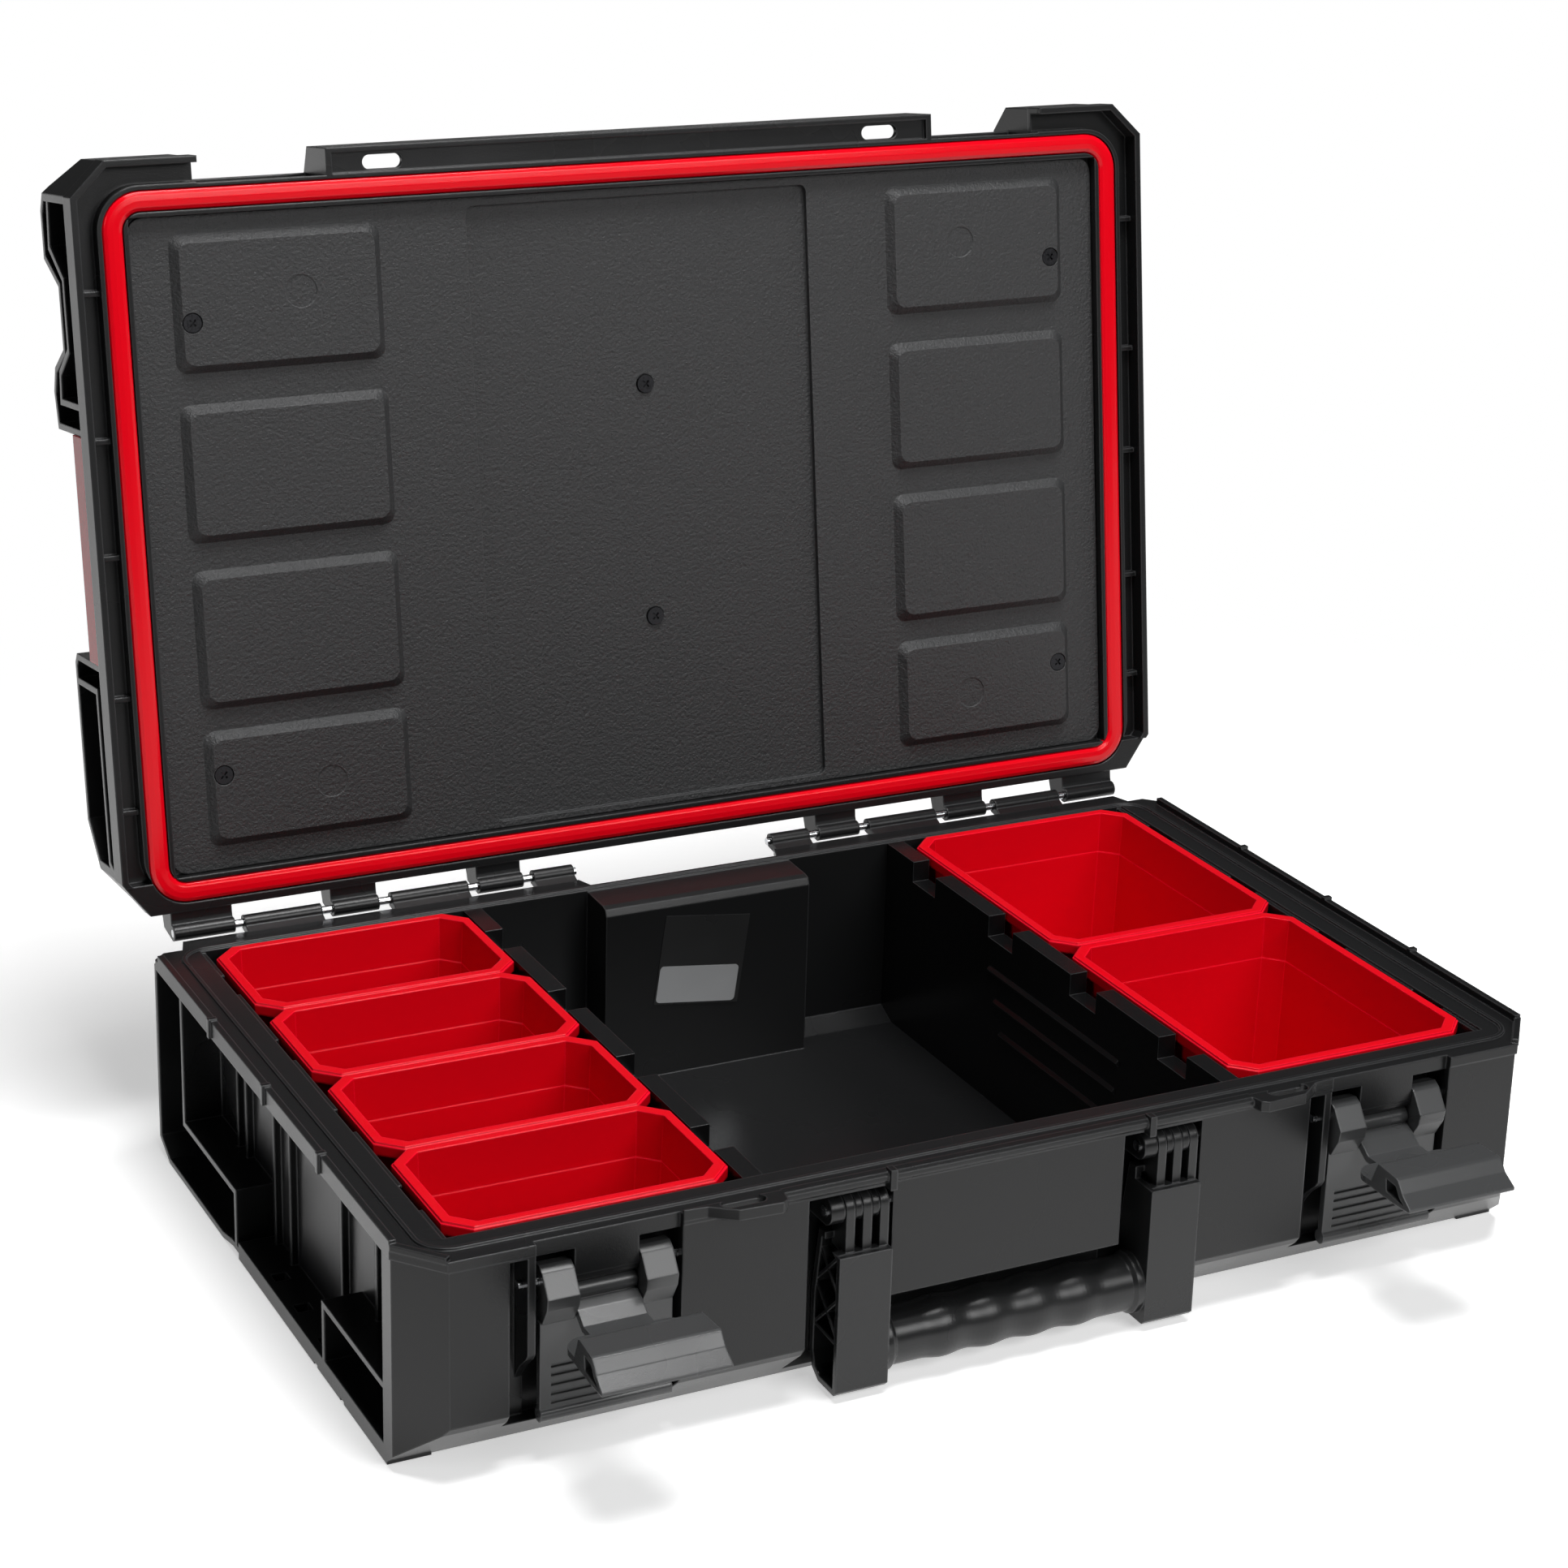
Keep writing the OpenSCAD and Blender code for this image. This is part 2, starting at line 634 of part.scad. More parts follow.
module latch_hook() color(GREY) {
    crest = hook_w / 2;
    flare = crest + 1.1;
    tip = crest + 1.5;
    difference() {
        union() {
            rod(-barrel_w / 2, barrel_w / 2, hook_y, hook_z, barrel_r);
            bent(-barrel_w / 2, barrel_w / 2, [[-1, 3], [3.5, 3.2], [8.2, 5.2], [14.5, 9.6], [30, 9.8],
                [30, 12.8], [13, 12.8], [6.5, 8.4], [0, 6.4]]);
            bent(-crest, crest, [[30, 9.8], [36, 9.8], [36, 12.8], [30, 12.8]]);
            hull() {
                bent(-crest, crest, [[35, 9.8], [39, -0.3], [40.5, -0.6], [42, 12.6], [35, 12.8]]);
                bent(-flare, flare, [[54, -0.3], [55.5, 0.2], [59.5, 5.3], [60.2, 12.2], [54, 12.4]]);
            }
            hull() {
                bent(-flare, flare, [[59, 5.3], [59.5, 5.3], [60.2, 12.2], [59, 12.2]]);
                bent(-tip, tip, [[hook_reach - 0.1, 9.9], [hook_reach, 10], [hook_reach, 11.4],
                    [hook_reach - 0.1, 11.5]]);
            }
            for (s = [-1, 1]) translate([s * (crest - 9), hook_y - 30, hook_z - 12.8])
                intersection() {
                    cylinder(h = 3, r = 9);
                    translate([-9, -9, 0]) cube([18, 18, 3]);
                }
            bent(-crest + 9, crest - 9, [[21, 9.8], [31, 9.8], [31, 12.8], [21, 12.8]]);
        }
        bent(-tip - 1, tip + 1, [[46.5, 3.2], [54.3, 3.4], [57.3, 7.7], [62, 10.3], [47.5, 9.4]]);
        rod(-barrel_w, barrel_w, hook_y, hook_z, latch_pin_d / 2 + run);
    }
}

module latch_hook_left() translate([-latch_x, 0, 0]) latch_hook();
module latch_hook_right() translate([latch_x, 0, 0]) latch_hook();

// ---------- Handle ----------
// Side of an arm, seen along X
arm_side = [[arm_back - 5.5, arm_top + 6], [handle_y + 4, arm_top + 6], [handle_y + 4, arm_top],
    [arm_front, arm_top], [arm_front, arm_bottom + 2], [arm_front + 2, arm_bottom], [arm_back - 9, arm_bottom],
    [arm_back - 3, arm_bottom + 4], [arm_back, arm_bottom + 12], [arm_back, arm_bottom + 40]];
arm_core = [[arm_back - 5.5, arm_top + 6], [handle_y + 4, arm_top + 6], [arm_front, arm_top],
    [arm_front, arm_bottom + 2], [arm_front + 2, arm_bottom], [arm_back - 9, arm_bottom],
    [arm_back - 3, arm_bottom + 4], [arm_back, arm_bottom + 12], [arm_back, arm_bottom + 40]];

// Arm cored from its outer side, which is at -x when out is 1, with the ribs of its truss
module arm(out) {
    half = arm_w / 2;
    difference() {
        along_x(-half, half, arm_side);
        facing(out) along_x(-half - 1, half - arm_wall, inset(arm_core, arm_wall));
    }
    facing(out) {
        for (z = [57.3, 36.4], s = [-1, 1])
            along_x(-half + 0.6, half - arm_wall + 1, ribbon([[arm_front + arm_wall - 0.5, arm_bottom + z - s * 9.5],
                [arm_back - arm_wall - 0.5, arm_bottom + z + s * 9.5]], 1.6));
        along_x(-half + 0.6, half - arm_wall + 1, ribbon([[arm_front + arm_wall - 0.5, arm_bottom + 24.5],
            [arm_back - arm_wall + 0.5, arm_bottom + 25.5]], 1.6));
    }
    for (i = [0:2]) translate([-half + 4.6 + i * fin_pitch, 0, 0]) {
        rod(0, fin_w, handle_y, handle_z, fin_r);
        along_x(0, fin_w, [[handle_y - fin_r, handle_z], [handle_y - fin_r, arm_top - 1],
            [handle_y + fin_r, arm_top - 1], [handle_y + fin_r, handle_z]]);
    }
}

// Profile of the grip: end collars and soft finger swells
function swell(x) = let (edge = arm_x - arm_w / 2)
    grip_r - (abs(x) > edge - 4 ? 0 : 1.6 - 1.3 * (abs(x) < swell_half ?
        (1 - cos(360 * (x + 2 * swell_pitch) / swell_pitch)) / 2 : 0));

module handle() color(GREY) {
    edge = arm_x - arm_w / 2;
    difference() {
        union() {
            for (s = [-1, 1]) translate([s * arm_x, 0, 0]) arm(-s);
            intersection() {
                translate([-edge - 1, grip_y, grip_z]) rotate([0, 90, 0]) rotate_extrude()
                    polygon(concat([[0, 0]], [for (i = [0:64]) let (x = -edge - 1 + i * (2 * edge + 2) / 64)
                        [swell(x), x + edge + 1]], [[0, 2 * edge + 2]]));
                box([-arm_x, arm_x], [arm_front - 1, grip_back], [0, base_h]);
            }
        }
        for (s = [-1, 1]) translate([s * arm_x, 0, 0])
            rod(-arm_w, arm_w, handle_y, handle_z, handle_pin_d / 2 + run);
    }
}

// ---------- Bins ----------
function bin_outline(x, y, c) = [[x - c, -y], [x, c - y], [x, y - c], [x - c, y], [c - x, y], [-x, y - c],
    [-x, c - y], [c - x, -y]];

module bin_slab(x, y, c, z) {
    translate([0, 0, z]) linear_extrude(height = eps) polygon(bin_outline(x, y, c));
}

// Drafted bin with a rolled rim; half sizes are those of its rim
module bin(x, y) {
    rim_h = 6;
    body_x = x - bin_rim + bin_wall;
    body_y = y - bin_rim + bin_wall;
    foot = bin_draft + 3;
    color(RED) difference() {
        union() {
            hull() {
                bin_slab(body_x - foot, body_y - foot, bin_corner - 2, bin_z0);
                bin_slab(body_x - bin_draft, body_y - bin_draft, bin_corner - 1, bin_z0 + 3);
                bin_slab(body_x, body_y, bin_corner - 1, bin_top - eps);
            }
            translate([0, 0, bin_top - rim_h]) linear_extrude(height = rim_h - 1)
                polygon(bin_outline(x, y, bin_corner));
            translate([0, 0, bin_top - 1.5]) linear_extrude(height = 1.5)
                polygon(bin_outline(x - 0.8, y - 0.8, bin_corner - 0.3));
        }
        hull() {
            bin_slab(body_x - foot - bin_wall, body_y - foot - bin_wall, bin_corner - 2, bin_z0 + bin_wall);
            bin_slab(body_x - bin_draft - bin_wall, body_y - bin_draft - bin_wall, bin_corner - 2,
                bin_z0 + bin_wall + 2);
            bin_slab(body_x - bin_wall - 1.2, body_y - bin_wall - 1.2, bin_corner - 2, bin_top - 22);
        }
        hull() {
            bin_slab(body_x - bin_wall - 1, body_y - bin_wall - 1, bin_corner - 2, bin_top - 22 - eps);
            bin_slab(body_x - bin_wall, body_y - bin_wall, bin_corner - 1.5, bin_top + 1);
        }
        translate([0, 0, bin_top - rim_h - 1]) linear_extrude(height = rim_h - 1) difference() {
            polygon(bin_outline(x - 1.6, y - 1.6, bin_corner - 0.8));
            polygon(bin_outline(body_x, body_y, bin_corner - 1));
        }
    }
}

bin_half_x = (bin_out - bin_in) / 2;
bin_mid_x = (bin_out + bin_in) / 2;

module bin_small(i) {
    translate([-bin_mid_x, bin_row1 - bin_pitch * (i + 0.5), 0]) bin(bin_half_x, bin_pitch / 2 - 0.4);
}

module bin_large(i) {
    translate([bin_mid_x, bin_row1 - bin_pitch * (2 * i + 1), 0]) bin(bin_half_x, bin_pitch - 0.8);
}

module bin_small_1() bin_small(0);
module bin_small_2() bin_small(1);
module bin_small_3() bin_small(2);
module bin_small_4() bin_small(3);
module bin_large_1() bin_large(0);
module bin_large_2() bin_large(1);

// ---------- Lid ----------
// Swings a lid piece, drawn closed about the hinge axis, to the open stop
module opened() {
    translate([0, hinge_y, base_h]) rotate([-open_angle, 0, 0]) children();
}

// Plan of the lid; x is the half width at the sides and front the reach of the middle
function lid_plan(x, front) = mirrored([[x - back_corner[0], -lid_back], [x, -lid_back - back_corner[1]],
    [x, front_corner[1] - front], [x - front_corner[0], -front]]);

module lid_outline(t) {
    outline = reversed(lid_plan(lid_x, lid_front));
    polygon(inset(outline, t));
}

// Front cut back over each latch, with room above the keeper for the hook's claw
module latch_gaps() {
    both() box([gap_in, gap_out], [-lid_front - 1, -lid_face], [-5, lid_t]);
    both() box([gap_in, gap_out], [-lid_face - 1, -lid_face + claw_room], [keeper_h, claw_top]);
}

// Closed section of a corner foot in [y, z]: the front one has a notch, the back one a long bevel
front_foot = [[-lid_front, rim_gap], [-band_v1, rim_gap], [-band_v1, foot_z - 3], [-band_v1 - 18, foot_z],
    [-band_v1 - 30, foot_z - 5], [-band_v1 - 40, foot_z - 23], [-band_v1 - 70, foot_z - 23],
    [-band_v1 - 82, foot_z], [-lid_face + 12, foot_z], [-lid_face, foot_z - 7], [-lid_front, foot_z - 21]];
back_foot = [[-lid_back, rim_gap], [-lid_back, 12], [-28, foot_z - 17], [-49, foot_z],
    [-band_v0 + 5, foot_z], [-band_v0, foot_z - 4], [-band_v0, rim_gap]];

module corner_foot(section, rib_path) {
    x1 = lid_x - 1;
    intersection() {
        union() {
            difference() {
                along_x(foot_in, x1, section);
                intersection() {
                    along_x(foot_in + lid_wall, lid_x + 1, inset(section, lid_wall));
                    translate([0, 0, -1]) linear_extrude(height = lid_t + 2) {
                        lid_outline(lid_wall);
                        translate([foot_in, -lid_front + 20]) square([lid_x + 1 - foot_in, lid_front - 52]);
                    }
                }
            }
            along_x(foot_in + 1, x1, ribbon(rib_path, lid_wall));
        }
        translate([0, 0, -1]) linear_extrude(height = lid_t + 2) lid_outline(0.5);
    }
}

// Raised body between the feet, and the low core under the band
module lid_deck() {
    along_x(-foot_in - 1, foot_in + 1, [[-band_v1, channel_h], [-lid_face, channel_h], [-lid_face, front_h],
        [-lid_face + 8, deck_h], [-band_v1, deck_h]]);
    along_x(-foot_in - 1, foot_in + 1, [[-lid_back, channel_h], [-band_v0, channel_h], [-band_v0, deck_h],
        [-lid_back - 20, deck_h], [-lid_back, deck_h - 20]]);
    along_x(-tub_x - 8, tub_x + 8, [[-band_v0 + 1, channel_h], [-band_v1 - 1, channel_h],
        [-band_v1 - 1, band_h - lid_wall], [-band_v0 + 1, band_h - lid_wall]]);
}

// Inside of the lid, closed off again under the side-open feet
module lid_hollow() {
    x = liner_x + 0.4;
    front = -liner_v1 - 0.4;
    back = -liner_v0 + 0.4;
    top = deck_h - lid_wall;
    box([-x, x], [front, back], [-1, channel_h]);
    box([-deck_in, deck_in], [front, back], [-1, band_h - 2 * lid_wall]);
    box([-x, x], [-band_v1 + 2, -band_v0 - 2], [-1, band_h - 2 * lid_wall]);
    box([-deck_in, deck_in], [-lid_face + claw_room + lid_wall, -band_v1 - lid_wall], [channel_h, top]);
    along_x(-deck_in, deck_in, [[-band_v0 + lid_wall, channel_h], [-band_v0 + lid_wall, top],
        [-liner_v0 - 4.5, top], [back, top - 5], [back, channel_h]]);
}

// Fascia across the middle of the front, standing off the body and tied to it by ribs
module lid_fascia() {
    along_x(-gap_in, gap_in, [[-lid_front, gutter_z[0]], [-lid_front, fascia_h],
        [-lid_front + fascia_t, fascia_h + 1.5], [-lid_front + fascia_t, gutter_z[0]]]);
    for (x = [-gap_in, -113, -60, 60 - fascia_t, 113 - fascia_t, gap_in - fascia_t])
        along_x(x, x + fascia_t, [[-lid_front, gutter_z[1] - 1], [-lid_front, fascia_h],
            [-lid_face + 1, front_h - 1], [-lid_face + 1, gutter_z[1] - 1]]);
}

// Room behind the fascia, open to the top
module lid_gutter() {
    box([-gap_in - 1, gap_in + 1], [-lid_front + fascia_t, -lid_face], [gutter_z[1], channel_h + lid_wall + 1]);
    box([-gap_in + 3, gap_in - 3], [-lid_front + fascia_t, -lid_face - 0.4], [-3, gutter_z[0]]);
}

module lid_channel() {
    intersection() {
        translate([0, 0, -4]) linear_extrude(height = channel_h + 4) difference() {
            lid_outline(lid_wall);
            round_rect(gasket_out + 2.5, -gasket_v1 - 2.5, -gasket_v0 - 2.5, gasket_r + 2.5);
        }
        both() union() {
            box([gap_out - 20, lid_x], [-lid_front, -lid_front / 2], [-5, channel_h]);
            box([gasket_out - 40, lid_x], [-lid_front / 2 - 1, -26], [-5, channel_h]);
        }
    }
}

module lid_shell() color(BLACK) opened() {
    difference() {
        union() {
            difference() {
                translate([0, 0, rim_gap]) linear_extrude(height = channel_h + lid_wall - rim_gap) lid_outline(0);
                lid_gutter();
            }
            difference() {
                translate([0, 0, -2]) linear_extrude(height = 4) lid_outline(0);
                translate([0, 0, -3]) linear_extrude(height = 6) lid_outline(lid_wall);
                box([-gap_out - 0.1, gap_out + 0.1], [-lid_front - 1, 1], [-3, 3]);
                box([-lid_x - 1, lid_x + 1], [-26, 1], [-3, 3]);
            }
            lid_deck();
            lid_fascia();
            both() corner_foot(front_foot, [[-band_v1 - 14, 10], [-band_v1 - 14, foot_z - 12],
                [-band_v1 - 28, foot_z - 14], [-band_v1 - 40, foot_z - 32], [-band_v1 - 74, foot_z - 32],
                [-band_v1 - 88, foot_z - 11], [-lid_face + 2, foot_z - 14]]);
            both() corner_foot(back_foot, [[-band_v0 + 14, foot_z - 2], [-band_v0 + 14, 22],
                [-34, 22], [-28, 10]]);
            both() lid_knuckles_side();
        }
        lid_channel();
        latch_gaps();
        lid_hollow();
        lid_screw_holes();
        gasket_seat(0.3);
        rod(-lid_x, lid_x, 0, 0, hinge_pin_d / 2 + run);
        both() slot(slot_x, slot_y - hinge_y, slot_l, slot_w, -1, gutter_z[1] + 1);
    }
    lid_tabs();
    lid_screw_posts();
}

// Groove that the gasket is pressed into, with play t round it
module gasket_seat(t) {
    translate([0, 0, -3]) linear_extrude(height = gasket_rise + gasket_t + 3) difference() {
        round_rect(gasket_out + t, -gasket_v1 - t, -gasket_v0 + t, gasket_r + t);
        round_rect(gasket_out - gasket_w - t, -gasket_v1 + gasket_w + t, -gasket_v0 - gasket_w - t,
            gasket_r - gasket_w - t);
    }
}

// Small tabs that bridge the channel along each side
module lid_tabs() {
    for (v = [62, 118, 187, 243, 313])
        both() box([gasket_out + 2, lid_x - 1], [-v - 1.2, -v + 1.2], [4, channel_h + 0.5]);
}

module lid_knuckles_side() {
    for (k = lid_knuckles) {
        rod(k[0], k[1], 0, 0, knuckle_r);
        along_x(k[0], k[1], [[0, 0], [3.4, 2], [0, gusset - 3], [-lid_back - 1, gusset], [-lid_back - 4, 1],
            [-6, 1]]);
    }
}

module lid_screw_holes() {
    for (s = screws) translate([s[0], -s[1], 0]) cylinder(h = screw_seat(s) + 14.5, d = 3.4);
}

module lid_screw_posts() {
    difference() {
        for (s = screws) let (z0 = s[0] == 0 ? liner_z + panel_dip + liner_t + 0.1 : channel_h)
            translate([s[0], -s[1], z0]) cylinder(h = post_top(s) - z0, d = 9);
        lid_screw_holes();
    }
}

module lid_band() color(RED) opened() {
    x = lid_x - 0.5;
    gap = 0.2;
    difference() {
        along_x(-x, x, [[-band_v0 - gap, channel_h + lid_wall], [-band_v0 - gap, band_h],
            [-band_v1 + gap, band_h], [-band_v1 + gap, channel_h + lid_wall]]);
        box([-x + lid_wall, x - lid_wall], [-band_v1 - 1, -band_v0 + 1], [0, band_h - lid_wall]);
    }
}

// Pad that stands out of the liner, with round corners and sloping sides
module pad(x, v) {
    slope = 4.5;
    h = pad_h + 0.5;
    size = [x[1] - x[0], v[1] - v[0]];
    translate([(x[0] + x[1]) / 2, -(v[0] + v[1]) / 2, liner_z + 0.5]) mirror([0, 0, 1])
        linear_extrude(height = h, slices = 1, scale = [1 - 2 * slope / size[0], 1 - 2 * slope / size[1]])
            round_rect(size[0] / 2, -size[1] / 2, size[1] / 2, 6, $fn = 24);
}

module lid_liner() color(GREY) opened() {
    z0 = liner_z;
    difference() {
        union() {
            translate([0, 0, z0]) linear_extrude(height = liner_t)
                round_rect(liner_x, -liner_v1, -liner_v0, 8);
            both() for (v = pad_v) pad(pad_x, v);
            translate([0, 0, z0]) linear_extrude(height = liner_t + panel_dip)
                round_rect(panel_x + 2, -panel_v[1] - 2, -panel_v[0] + 2, 5);
        }
        translate([0, 0, z0 - 1]) linear_extrude(height = panel_dip + 1)
            round_rect(panel_x, -panel_v[1], -panel_v[0], 4);
        for (x = [-ejector_x, ejector_x], v = ejector_v)
            translate([x, -v, -1]) cylinder(h = 1 + liner_z - pad_h + 0.4, d = ejector_d);
        for (s = screws) translate([s[0], -s[1], -5]) cylinder(h = 30, d = 4.2);
        for (s = screws) translate([s[0], -s[1], -10]) cylinder(h = 10 + screw_seat(s), d = screw_d + 1);
    }
}

// Top of a screw's post: under the deck, under the band's core or clear in a foot
function post_top(s) = s[0] != 0 ? channel_h + 13 : s[1] > band_v1 ? band_h - 2 * lid_wall + 1 :
    deck_h - lid_wall + 1;
function screw_seat(s) = s[0] == 0 ? liner_z + panel_dip + 1 : liner_z - pad_h + 2.4;

// Rounded profile of the gasket: [from its middle line, out of the groove]
bead = [for (p = [[-1, 0], [-1, 0.5], [-0.86, 0.76], [-0.55, 0.95], [0, 1], [0.55, 0.95], [0.86, 0.76], [1, 0.5],
    [1, 0]]) [p[0] * gasket_w / 2, p[1] * gasket_t]];

module lid_gasket() color(RED) opened() {
    seat = gasket_rise + gasket_t;
    x = seal_x - seal_r;
    v = [gasket_v0 + gasket_r, gasket_v1 - gasket_r];
    for (s = [[-v[1], -1], [-v[0], 1]])
        along_x(-x, x, [for (p = bead) [s[0] + s[1] * (seal_r + p[0]), seat - p[1]]]);
    both() translate([0, -v[0], 0]) rotate([90, 0, 0]) linear_extrude(height = v[1] - v[0])
        polygon([for (p = bead) [seal_x + p[0], seat - p[1]]]);
    both() for (s = [[-v[1], -1], [-v[0], 1]]) intersection() {
        translate([x, s[0], 0]) rotate_extrude() polygon([for (p = bead) [seal_r + p[0], seat - p[1]]]);
        translate([x, s[0] + (s[1] - 1) * gasket_r, -5]) cube([2 * gasket_r, 2 * gasket_r, 20]);
    }
}

// Pan-head screws with a cross recess
module liner_screws() color(BLACK) opened() {
    for (s = screws) translate([s[0], -s[1], screw_seat(s)]) difference() {
        union() {
            translate([0, 0, -2]) cylinder(h = 2, d = screw_d);
            cylinder(h = 14, d = 3.2);
        }
        for (a = [45, 135]) rotate([0, 0, a]) translate([-2.2, -0.5, -3]) cube([4.4, 1, 2.2]);
    }
}

base_shell();
divider_left();
divider_right();
blank_label();
hinge_pin_left();
hinge_pin_right();
latch_lever_left();
latch_lever_right();
latch_hook_left();
latch_hook_right();
latch_pin_left();
latch_pin_right();
hook_pin_left();
hook_pin_right();
handle();
handle_pin_left();
handle_pin_right();
bin_small_1();
bin_small_2();
bin_small_3();
bin_small_4();
bin_large_1();
bin_large_2();
lid_shell();
lid_band();
lid_liner();
lid_gasket();
liner_screws();
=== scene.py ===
# %% [markdown]
# # A hard tool case, open on the bench
# The case is a moulded black base with red bins, under a lid that swings back on two steel pins. The solids
# already give every part its true size and shape, so this script makes the light, the finishes and the silver
# panel on the label. Rounded edges and grain are in the shading only.

# %% Load the frame
import json
import math

import bpy
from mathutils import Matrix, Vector


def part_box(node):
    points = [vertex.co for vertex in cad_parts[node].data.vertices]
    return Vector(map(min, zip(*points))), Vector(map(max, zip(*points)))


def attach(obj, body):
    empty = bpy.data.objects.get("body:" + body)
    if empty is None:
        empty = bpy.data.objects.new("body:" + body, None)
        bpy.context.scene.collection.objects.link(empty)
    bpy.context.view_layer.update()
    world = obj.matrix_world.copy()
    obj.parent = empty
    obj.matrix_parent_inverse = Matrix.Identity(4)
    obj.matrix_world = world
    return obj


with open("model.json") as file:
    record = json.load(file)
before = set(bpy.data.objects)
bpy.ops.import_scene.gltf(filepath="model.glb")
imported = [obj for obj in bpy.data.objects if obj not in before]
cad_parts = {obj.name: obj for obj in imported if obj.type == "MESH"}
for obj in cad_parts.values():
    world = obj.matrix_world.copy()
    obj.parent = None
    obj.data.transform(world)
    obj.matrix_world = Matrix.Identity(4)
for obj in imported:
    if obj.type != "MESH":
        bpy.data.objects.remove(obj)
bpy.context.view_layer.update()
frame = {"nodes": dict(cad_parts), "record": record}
nodes = frame["nodes"]
MM = 0.001
LABEL_PANEL = (45 * MM, 20 * MM)
LABEL_SHIFT = Vector((-2.4 * MM, 0, -13.1 * MM))
LABEL_TURN = math.radians(7.5)
FILM_GAP = 0.02 * MM
print("pieces:", len(nodes))

# %% [markdown]
# ## The camera
# A product photograph is taken from a few metres away with a long lens, which keeps the far end of the case
# nearly as large as the near one. The place and the turn below came from lining up the case's corners with
# those in the picture.

# %% Camera
camera_data = bpy.data.cameras.new("studio_camera")
camera_data.lens = 79.96
camera_data.sensor_width = 36
camera_data.shift_x = -0.00606
camera_data.shift_y = -0.0529
camera = bpy.data.objects.new("studio_camera", camera_data)
bpy.context.collection.objects.link(camera)
right = Vector((0.89327, -0.44864, 0.02810))
up = Vector((0.12193, 0.30200, 0.94548))
away = Vector((-0.43267, -0.84114, 0.32447))
turn = camera.matrix_world.to_3x3()
for row in range(3):
    turn[row] = (right[row], up[row], away[row])
camera.matrix_world = turn.to_4x4()
camera.location = Vector((-720.98, -1351.25, 775.07)) * MM
bpy.context.scene.camera = camera
print("camera is", round(camera.location.length, 2), "m from the case")

# %% [markdown]
# ## The studio
# A white sweep is a floor that never ends. Large soft lamps give long, gentle highlights along the edges of
# dark plastic, which is the only way its shape shows. The world keeps its dark grey colour. It is five times
# stronger where the camera, glossy or clear surfaces look at it than where it lights, and from a low angle it
# shows as a dark band past the end of the floor.

# %% Floor
bpy.ops.object.select_all(action="DESELECT")
bpy.ops.mesh.primitive_plane_add(size=14, location=(0, 0, -0.0004))
floor = bpy.context.object
floor.name = "studio_floor"


def new_material(name):
    material = bpy.data.materials.new(name)
    material.use_nodes = True
    tree = material.node_tree
    shader = tree.nodes["Principled BSDF"]
    return material, tree, shader


def link(tree, output, target):
    tree.links.new(output, target)


def looked_at(tree):
    """1 for rays that look at a surface, straight or through a reflection or glass; 0 for rays that light it."""
    seen = tree.nodes.new("ShaderNodeLightPath")
    value = seen.outputs["Is Camera Ray"]
    for ray in ("Is Glossy Ray", "Is Transmission Ray"):
        most = tree.nodes.new("ShaderNodeMath")
        most.operation = "MAXIMUM"
        link(tree, value, most.inputs[0])
        link(tree, seen.outputs[ray], most.inputs[1])
        value = most.outputs["Value"]
    return value


paper, tree, shader = new_material("white_paper")
shader.inputs["Base Color"].default_value = (0.86, 0.86, 0.86, 1)
shader.inputs["Roughness"].default_value = 0.7
shader.inputs["Specular IOR Level"].default_value = 0.1
place = tree.nodes.new("ShaderNodeTexCoord").outputs["Object"]
reach = tree.nodes.new("ShaderNodeVectorMath")
reach.operation = "LENGTH"
link(tree, place, reach.inputs[0])
fade = tree.nodes.new("ShaderNodeMapRange")
fade.interpolation_type = "SMOOTHSTEP"
fade.inputs["From Min"].default_value = 0.35
fade.inputs["From Max"].default_value = 1.0
link(tree, reach.outputs["Value"], fade.inputs["Value"])
direct = looked_at(tree)
glow = tree.nodes.new("ShaderNodeEmission")
lit = tree.nodes.new("ShaderNodeMath")
lit.operation = "MULTIPLY"
lit.inputs[1].default_value = 0.5
link(tree, direct, lit.inputs[0])
link(tree, lit.outputs["Value"], glow.inputs["Strength"])
both = tree.nodes.new("ShaderNodeAddShader")
link(tree, shader.outputs["BSDF"], both.inputs[0])
link(tree, glow.outputs["Emission"], both.inputs[1])
far = tree.nodes.new("ShaderNodeEmission")
link(tree, direct, far.inputs["Strength"])
blend = tree.nodes.new("ShaderNodeMixShader")
link(tree, fade.outputs["Result"], blend.inputs["Fac"])
link(tree, both.outputs["Shader"], blend.inputs[1])
link(tree, far.outputs["Emission"], blend.inputs[2])
link(tree, blend.outputs["Shader"], tree.nodes["Material Output"].inputs["Surface"])
floor.data.materials.append(paper)
print("floor is", floor.dimensions.x, "m wide")

# %% [markdown]
# ## Lamps and world
# The highlights in the picture lie on top faces and on the front, and the left end stays dark. So the large lamps
# hang above and in front, and the one at the left only draws a thin light along the edges there.

# %% Lamps and world
def soft_lamp(name, place, target, size, power):
    data = bpy.data.lights.new(name, "AREA")
    data.shape = "RECTANGLE"
    data.size, data.size_y = size
    data.energy = power
    lamp = bpy.data.objects.new(name, data)
    bpy.context.collection.objects.link(lamp)
    lamp.location = place
    lamp.rotation_euler = (Vector(target) - Vector(place)).to_track_quat("-Z", "Y").to_euler()
    return lamp


soft_lamp("key_lamp", (0.7, -2.1, 1.5), (0, 0, 0.15), (1.4, 0.9), 29)
soft_lamp("top_lamp", (0.1, -0.3, 2.2), (0, 0, 0.1), (1.2, 0.8), 50)
soft_lamp("left_lamp", (-2.1, -0.5, 1.2), (0, 0, 0.15), (0.7, 0.7), 4)

